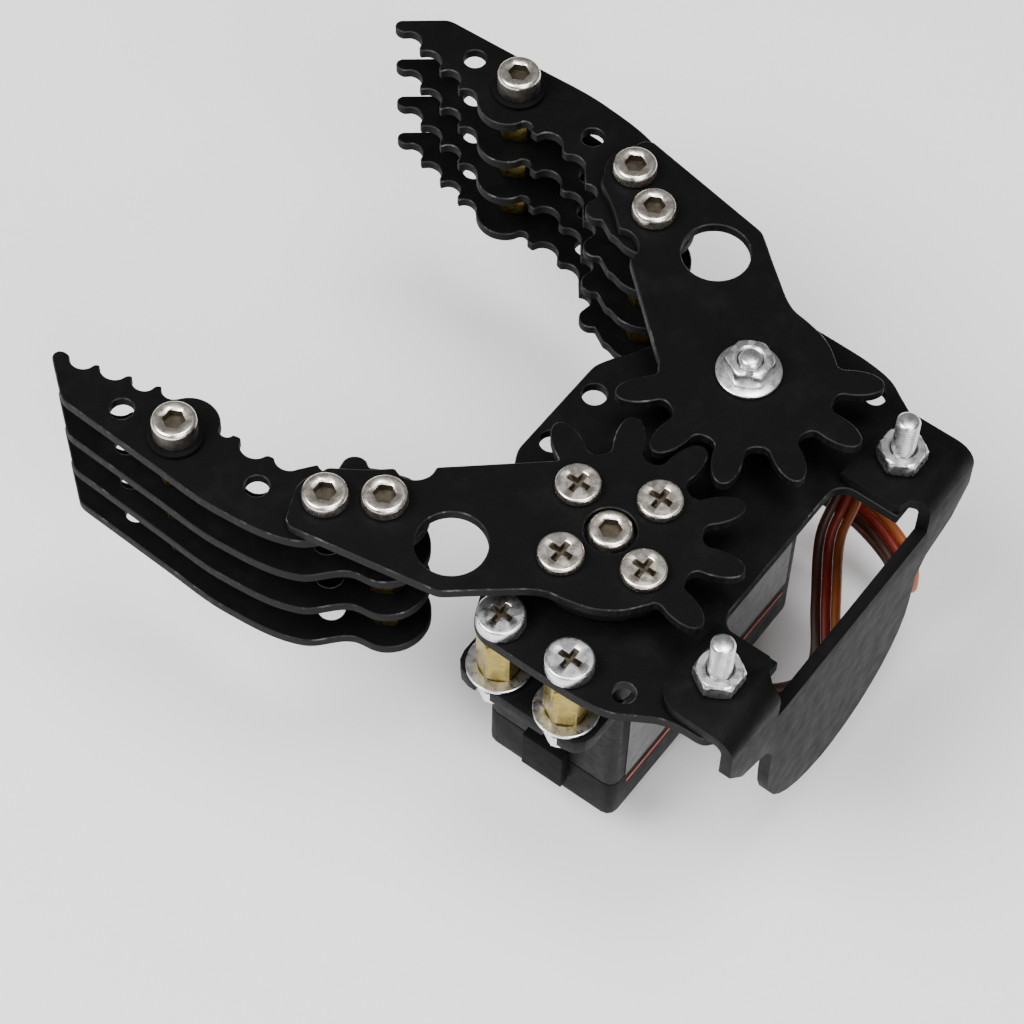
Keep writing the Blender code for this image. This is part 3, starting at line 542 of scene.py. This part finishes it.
def turned(centre, rings, closed=False):
    """A solid lofted through rings of (height, radius or function of the angle, slot).

    Closed, its last ring joins its first, as round a bore. Open, its two ends are faces.
    """
    bm = bmesh.new()
    loops = []
    for height, radius, _ in rings:
        loop = []
        for i in range(FINE):
            angle = 2 * pi * i / FINE
            reach = radius(angle) if callable(radius) else radius
            x, y = centre[0] + reach * cos(angle), centre[1] + reach * sin(angle)
            loop.append(bm.verts.new((x, y, height)))
        loops.append(loop)
    if closed:
        loops.append(loops[0])
    else:
        bm.faces.new(loops[0]).material_index = rings[0][2]
        bm.faces.new(loops[-1]).material_index = rings[-1][2]
    for k, (low, high) in enumerate(zip(loops, loops[1:])):
        for i in range(FINE):
            face = bm.faces.new((low[i - 1], low[i], high[i], high[i - 1]))
            face.material_index = rings[k][2]
    return bm


def thread(bottom, top, slot=0):
    """Rings of a helical thread, whose crests are at the M3 radius."""
    steps = max(2, round(abs(top - bottom) / (THREAD_PITCH / 6)))
    rings = []
    for i in range(steps + 1):
        height = bottom + (top - bottom) * i / steps

        def reach(angle, height=height):
            turn = (height / THREAD_PITCH - angle / (2 * pi)) % 1
            return M3 - THREAD_DEPTH * abs(2 * turn - 1)

        rings.append((height, reach, slot))
    return rings


def hex_rings(bottom, top, flats, chamfer):
    """Rings of a hexagonal body whose six corners are turned down at both ends."""
    def limited(limit):
        return lambda angle: min(hexagon(flats, angle), limit)

    small, large = 0.485 * flats, 0.5774 * flats
    middle = (small + large) / 2
    return [(bottom, limited(small), 0), (bottom + 0.4 * chamfer, limited(middle), 0),
            (bottom + chamfer, limited(large), 0), (top - chamfer, limited(large), 0),
            (top - 0.4 * chamfer, limited(middle), 0), (top, limited(small), 0)]


def nut_rings(bottom, top, flats=NUT):
    return hex_rings(bottom, top, flats, NUT_CHAMFER)


def socket_head(seat, top, radius):
    """Rings of a head with a round rim and a hexagon socket. The socket is slot 1."""
    def socket(angle):
        return hexagon(SOCKET, angle)

    rim = min(0.55 * MM, 0.4 * (top - seat))
    return [(seat, radius - 0.12 * MM, 0), (seat + 0.12 * MM, radius, 0), (top - rim, radius, 0),
            (top - 0.6 * rim, radius - 0.1 * rim, 0), (top - 0.25 * rim, radius - 0.35 * rim, 0),
            (top - 0.05 * rim, radius - 0.7 * rim, 0), (top, radius - rim, 0),
            (top, 1.62 * MM, 0), (top - 0.18 * MM, socket, 1), (top - SOCKET_DEPTH, socket, 1)]


def pan_head(seat, top, radius):
    """Rings of a low head with upright sides, a round rim and a cross recess, which is slot 1."""
    rim = 0.34 * MM
    rings = [(seat, radius - 0.08 * MM, 0), (seat + 0.1 * MM, radius, 0), (top - rim, radius, 0)]
    for step in (0.3, 0.6, 0.85, 1.0):
        height = top - rim * (1 - sin(step * pi / 2))
        rings.append((height, radius - rim * (1 - cos(step * pi / 2)), 0))
    for depth, size in ((0.0, 1.62), (0.1, 1.5), (0.5, 1.2), (0.85, 0.9)):
        rings.append((top - depth * MM, cross_of(size * MM), 1 if depth else 0))
    return rings


def middle_of(node):
    """A CAD node's middle as (x, y), and its lowest and highest heights."""
    low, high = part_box(node)
    return ((low.x + high.x) / 2, (low.y + high.y) / 2), low.z, high.z


def make_cross_screws():
    """The horn's nickel screws and the zinc screws of the servo's standoffs."""
    for name, count, metal, radius, height in CROSS_SCREWS:
        for number in range(1, count + 1):
            node = f"{name}_{number}"
            centre, bottom, top = middle_of(node)
            seat = top - height * MM
            rings = thread(bottom, seat) + pan_head(seat, top, radius * MM)
            stand_for(node, turned(centre, rings), (metal, "recess"), TURNED_SMOOTH)


def washer_rings(bottom, top, radius, slot, edge):
    """Rings of a washer's rim, with its two edges broken."""
    return [(bottom, radius - edge, slot), (bottom + edge, radius, slot),
            (top - edge, radius, slot), (top, radius - edge, slot)]


def make_jaw_bolts():
    """Socket head screws through the jaws, each with a nut run onto its end.

    A tip's screw has a black washer under its head, slot 2, and a head side of darker metal, slot 3,
    which is painted shade.
    """
    materials = ("nickel", "recess", "rubber", "shaded_side")
    for side in ("left", "right"):
        for place, height in (("root", 1.8), ("middle", 1.8), ("tip", 3.0)):
            node = f"{side}_{place}_bolt"
            centre, bottom, top = middle_of(node)
            seat = top - height * MM
            end = bottom + 0.8 * MM
            rings = thread(bottom, end) + nut_rings(end, end + NUT_HEIGHT)
            rings.append((end + NUT_HEIGHT, M3, 0))
            head = socket_head(seat, top, JAW_HEAD)
            if place == "tip":
                washer = seat - TIP_WASHER
                rings.append((washer, M3, 2))
                rings += washer_rings(washer, seat, TIP_WASHER_RADIUS, 2, 0.1 * MM)
                # The head's side takes the darker metal: painted shade.
                head = [(at, reach, 3 if i < 2 else slot) for i, (at, reach, slot) in enumerate(head)]
            else:
                rings.append((seat, M3, 0))
            stand_for(node, turned(centre, rings + head), materials, TURNED_SMOOTH)


def make_horn_centre_screw():
    node = "horn_centre_screw"
    centre, bottom, top = middle_of(node)
    seat = top - 2.1 * MM
    rings = [(bottom, M3, 0), (seat, M3, 0)] + socket_head(seat, top, 2.7 * MM)
    stand_for(node, turned(centre, rings), ("nickel", "recess"), TURNED_SMOOTH)


def hex_tube(node, metal):
    """A hexagonal spacer or nut with a plain bore."""
    centre, bottom, top = middle_of(node)
    edge = 0.2 * MM
    rings = nut_rings(bottom, top, HEX if metal == "brass" else NUT)
    rings += [(top, BORE + edge, 0), (top - edge, BORE, 0), (bottom + edge, BORE, 0),
              (bottom, BORE + edge, 0)]
    stand_for(node, turned(centre, rings, closed=True), (metal,), HEX_SMOOTH)


def make_spacers_and_nuts():
    for node in sorted(NODES):
        if "_spacer_" in node:
            hex_tube(node, "brass")
        if node.startswith("bracket_nut"):
            hex_tube(node, "zinc")


def make_bracket_bolts():
    """Zinc bolts from below, whose threaded ends stand up through the bracket's nuts."""
    head_height = 1.8 * MM
    radius = 2.8 * MM
    for side in ("left", "right"):
        node = f"bracket_bolt_{side}"
        centre, bottom, top = middle_of(node)
        seat = bottom + head_height
        rings = [(bottom, 2.2 * MM, 0), (bottom + 0.15 * MM, 2.55 * MM, 0),
                 (bottom + 0.5 * MM, radius, 0), (seat, radius, 0)]
        rings += thread(seat, top - 0.35 * MM)
        rings += [(top - 0.12 * MM, 1.25 * MM, 0), (top, 1.05 * MM, 0)]
        stand_for(node, turned(centre, rings), ("zinc",), TURNED_SMOOTH)


def plain_washer(bottom, top, slot):
    """Rings of a plain washer, whose edges rise less than they draw in."""
    edge, rise = 0.1 * MM, 0.08 * MM
    return [(bottom, WASHER_RADIUS - edge, slot), (bottom + rise, WASHER_RADIUS, slot),
            (top - rise, WASHER_RADIUS, slot), (top, WASHER_RADIUS - edge, slot)]


def make_idler():
    """The right gear's pivot: bolt, washer and nut."""
    centre, bottom, top = middle_of("idler_bolt")
    rings = [(bottom, 2.9 * MM, 0), (bottom + 1.2 * MM, M3, 0)]
    rings += thread(bottom + 1.3 * MM, top - 0.35 * MM)
    rings += [(top - 0.1 * MM, 1.2 * MM, 0), (top, 1.0 * MM, 0)]
    stand_for("idler_bolt", turned(centre, rings), ("zinc",), TURNED_SMOOTH)
    centre, bottom, top = middle_of("idler_nut")
    washer = bottom + 0.5 * MM
    edge = 0.25 * MM
    rings = plain_washer(bottom, washer, 0) + nut_rings(washer, top)
    rings += [(top, BORE + edge, 0), (top - edge, BORE, 0), (bottom, BORE, 0)]
    stand_for("idler_nut", turned(centre, rings, closed=True), ("zinc",), TURNED_SMOOTH)


def make_standoffs():
    """Brass standoffs on the servo's ears, each on a washer, with a nut on its stud below."""
    thickness, ear = 0.5 * MM, 2.5 * MM + 2 * CLEARANCE_GAP
    for number in range(1, 5):
        node = f"servo_standoff_{number}"
        centre, bottom, top = middle_of(node)
        nut_bottom = bottom + 1.0 * MM
        ear_bottom = nut_bottom + NUT_HEIGHT
        washer = ear_bottom + ear
        seat = washer + thickness
        rings = thread(bottom, nut_bottom, 1)
        rings += [(height, shape, 1) for height, shape, _ in nut_rings(nut_bottom, ear_bottom, HEX)]
        rings += [(ear_bottom, M3, 1), (washer, M3, 1)] + plain_washer(washer, seat, 1)
        rings.append((seat, 2.7 * MM, 0))
        rings += hex_rings(seat, top, HEX, HEX_CHAMFER)
        rings += [(top, TUBE_BORE + 0.2 * MM, 0), (top - 0.2 * MM, TUBE_BORE, 0),
                  (top - 4 * MM, TUBE_BORE, 0)]
        stand_for(node, turned(centre, rings), ("brass", "zinc"), HEX_SMOOTH)


# Servo, with places in millimetres of part.py's working frame
SERVO_SIDE = -9.85          # Y of its side face towards the wrist
SERVO_FOOT = -46.0          # Z of its lowest face
LABEL_GAP, LABEL_OUT = 0.02, 0.12  # how far the label's two faces stand out from that side
CASE_SCREWS = ((-22.2, -7.4), (-22.2, 7.4), (13.8, -7.4), (13.8, 7.4))  # X and Y


def block(bm, low, high):
    """Adds a box between two corners given in part.py's working frame."""
    made = bmesh.ops.create_cube(bm, size=1)["verts"]
    low, high = Vector(low) * MM + GEAR_ZERO, Vector(high) * MM + GEAR_ZERO
    for vert in made:
        vert.co = Vector((low[i] + (vert.co[i] + 0.5) * (high[i] - low[i]) for i in range(3)))


def make_label():
    """The servo's label on its side: plain film with a thin coloured line along its foot."""
    out, inside = SERVO_SIDE - LABEL_OUT, SERVO_SIDE - LABEL_GAP
    bm = bmesh.new()
    block(bm, (-22.0, out, -37.9), (13.8, inside, -20.6))
    new_piece("servo_label", bm, "base", ("label",), SHEET_SMOOTH)
    bm = bmesh.new()
    block(bm, (-21.6, out, -40.1), (13.4, inside, -39.6))
    new_piece("servo_label_line", bm, "base", ("label_line",), SHEET_SMOOTH)


def make_case_screws():
    """The four long screws that hold the servo's case, seen from below."""
    face = SERVO_FOOT * MM + GEAR_ZERO.z
    head = face - 0.35 * MM
    radius = 1.5 * MM
    for number, (x, y) in enumerate(CASE_SCREWS, 1):
        centre = (x * MM + GEAR_ZERO.x, y * MM + GEAR_ZERO.y)
        rings = [(face + 0.3 * MM, cross_of(0.7 * MM), 1), (head, cross_of(0.95 * MM), 1),
                 (head, 1.25 * MM, 0), (face - 0.2 * MM, radius, 0), (face - 0.02 * MM, radius, 0)]
        new_piece(f"servo_case_screw_{number}", turned(centre, rings), "base", ("zinc", "recess"),
                  TURNED_SMOOTH)


def make_servo():
    """The servo and the bracket with their edges rounded, and looks for the rest."""
    make_label()
    make_case_screws()
    for node, width, segments, look, angle in (
            ("servo_lower_cover", 0.35 * MM, 3, ("case", "case"), TURNED_SMOOTH),
            ("servo_middle_case", 0.35 * MM, 3, ("case", "case"), TURNED_SMOOTH),
            ("servo_upper_cover", 0.35 * MM, 3, ("case", "case"), TURNED_SMOOTH),
            ("servo_lead_boot", 0.4 * MM, 3, ("rubber", "rubber"), TURNED_SMOOTH),
            ("servo_lead_plug", 0.25 * MM, 2, ("rubber", "rubber"), TURNED_SMOOTH),
            ("rear_bracket", EDGE_BREAK, 2, ("coat", "edge"), SHEET_SMOOTH)):
        stand_for(node, softened(node, width, segments), look, angle)
    for node, look in (("servo_horn", "horn"), ("servo_output_shaft", "brass"),
                       ("servo_motor", "motor"), ("servo_board", "board"), ("idler_bush", "brass")):
        for held in NODES[node].material_slots:
            held.material = MATERIALS[look]


# Servo lead: part.py's route in millimetres of its working frame
LEAD_ROUTE = (
    (-19.0, 0.0, -48.2), (-14.0, -0.3, -48.3), (-7.0, -2.0, -49.2), (-0.5, -6.0, -51.0),
    (3.6, -12.4, -51.6), (6.4, -18.2, -47.6), (7.6, -20.2, -39.5), (10.2, -17.8, -30.5),
    (15.2, -14.4, -24.4), (21.6, -12.8, -20.4), (27.2, -6.2, -15.8), (27.4, 4.0, -15.2),
    (27.4, 11.2, -21.8), (27.4, 11.4, -32.0), (27.8, 4.0, -39.2), (28.6, -5.5, -38.0),
    (29.6, -11.0, -29.6), (30.2, -7.4, -20.4), (30.4, 1.0, -16.6), (30.3, 8.4, -20.4),
    (29.8, 9.6, -28.8), (28.0, 3.2, -33.6), (25.4, -6.0, -31.8), (22.8, -15.6, -27.6),
    (21.6, -22.0, -30.6), (23.0, -22.4, -39.6), (30.0, -17.4, -44.2), (32.0, -7.4, -42.8),
    (30.6, 3.2, -44.0), (23.6, 11.0, -46.4), (13.0, 14.8, -47.6), (3.0, 15.4, -47.0),
    (-3.6, 15.4, -42.0), (-4.2, 15.4, -35.0),
)
LEAD_TWIST = ((0.0, 0), (0.17, 103), (0.68, 175), (1.0, 175))  # share of its length, degrees
WIRE_RADIUS = 0.64 * MM
WIRE_PITCH = 1.3 * MM
WIRE_SIDES = 12
LEAD_STEP = 0.9 * MM


def smooth_route(places, spacing):
    """Points about a spacing apart on the Catmull-Rom curve through the places."""
    places = [2 * places[0] - places[1], *places, 2 * places[-1] - places[-2]]
    found = [places[1]]
    for before, start, end, after in zip(places, places[1:], places[2:], places[3:]):
        steps = max(1, round((end - start).length / spacing))
        for i in range(1, steps + 1):
            t = i / steps
            found.append(0.5 * (2 * start + (end - before) * t
                                + (2 * before - 5 * start + 4 * end - after) * t ** 2
                                + (3 * start - before - 3 * end + after) * t ** 3))
    return found


def twist_at(share):
    """How far the lead is twisted, in radians, at a share of its length."""
    for (start, low), (end, high) in zip(LEAD_TWIST, LEAD_TWIST[1:]):
        if share <= end:
            break
    return radians(low + (high - low) * (share - start) / (end - start))


def route_frames(route, side):
    """(point, sideways, up) along a route, turned by the lead's twist and no more than it must."""
    frames = []
    for i, point in enumerate(route):
        way = (route[min(i + 1, len(route) - 1)] - route[max(i - 1, 0)]).normalized()
        side = (side - way * side.dot(way)).normalized()
        turned_side = Matrix.Rotation(twist_at(i / (len(route) - 1)), 3, way) @ side
        frames.append((point, turned_side, way.cross(turned_side)))
    return frames


def make_lead():
    """The flat three-wire lead: three round insulations side by side."""
    route = smooth_route([Vector(place) * MM + GEAR_ZERO for place in LEAD_ROUTE], LEAD_STEP)
    angles = [2 * pi * i / WIRE_SIDES for i in range(WIRE_SIDES)]
    bm = bmesh.new()
    for wire in range(3):
        loops = []
        for point, across, up in route_frames(route, Vector((0, 1, 0))):
            centre = point + across * (wire - 1) * WIRE_PITCH
            loops.append([bm.verts.new(centre + (across * cos(a) + up * sin(a)) * WIRE_RADIUS)
                          for a in angles])
        for low, high in zip(loops, loops[1:]):
            for i in range(WIRE_SIDES):
                face = bm.faces.new((low[i - 1], low[i], high[i], high[i - 1]))
                face.material_index = wire
        for end in (loops[0], loops[-1]):
            bm.faces.new(end).material_index = wire
    lead = new_piece("servo_lead_ribbon", bm, "base", ("orange", "red", "brown"), 60)
    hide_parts("servo_lead")


# Floor and light, in metres and watts
def make_stage():
    """A pale floor just under the lowest piece."""
    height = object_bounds()[0].z - 0.3 * MM
    reach = 1.6
    bm = bmesh.new()
    bm.faces.new([bm.verts.new((x, y, height)) for x, y in
                  ((-reach, -reach), (reach, -reach), (reach, reach), (-reach, reach))])
    mesh = bpy.data.meshes.new("floor")
    bm.to_mesh(mesh)
    bm.free()
    n = Nodes("pale_floor")
    colour = n.mix(n.noise(30, 3), (0.92, 0.92, 0.92), (0.94, 0.94, 0.935))
    mesh.materials.append(n.surface(colour, n.span(n.noise(60, 2), 0, 1, 0.6, 0.7)))
    floor = bpy.data.objects.new("floor", mesh)
    bpy.context.scene.collection.objects.link(floor)


def area_light(name, place, target, size, power):
    data = bpy.data.lights.new(name, "AREA")
    data.shape = "DISK"
    data.size = size
    data.energy = power
    light = bpy.data.objects.new(name, data)
    light.location = place
    light.rotation_euler = (Vector(target) - Vector(place)).to_track_quat("-Z", "Y").to_euler()
    bpy.context.scene.collection.objects.link(light)


def make_lights():
    world = bpy.data.worlds.new("studio")
    bpy.context.scene.world = world
    world.use_nodes = True
    background = world.node_tree.nodes["Background"]
    background.inputs["Color"].default_value = (1, 1, 1, 1)
    background.inputs["Strength"].default_value = 0.16
    middle = (0, 0.04, 0.01)
    area_light("key", (-0.5, 0.35, 0.8), middle, 0.6, 14)
    area_light("fill", (-0.35, -0.65, 0.6), middle, 0.6, 7)
    area_light("top", (0.1, -0.1, 1.1), middle, 0.5, 8)


make_camera()
make_sheets()
make_cross_screws()
make_jaw_bolts()
make_horn_centre_screw()
make_spacers_and_nuts()
make_bracket_bolts()
make_idler()
make_standoffs()
make_servo()
make_lead()
make_stage()
make_lights()
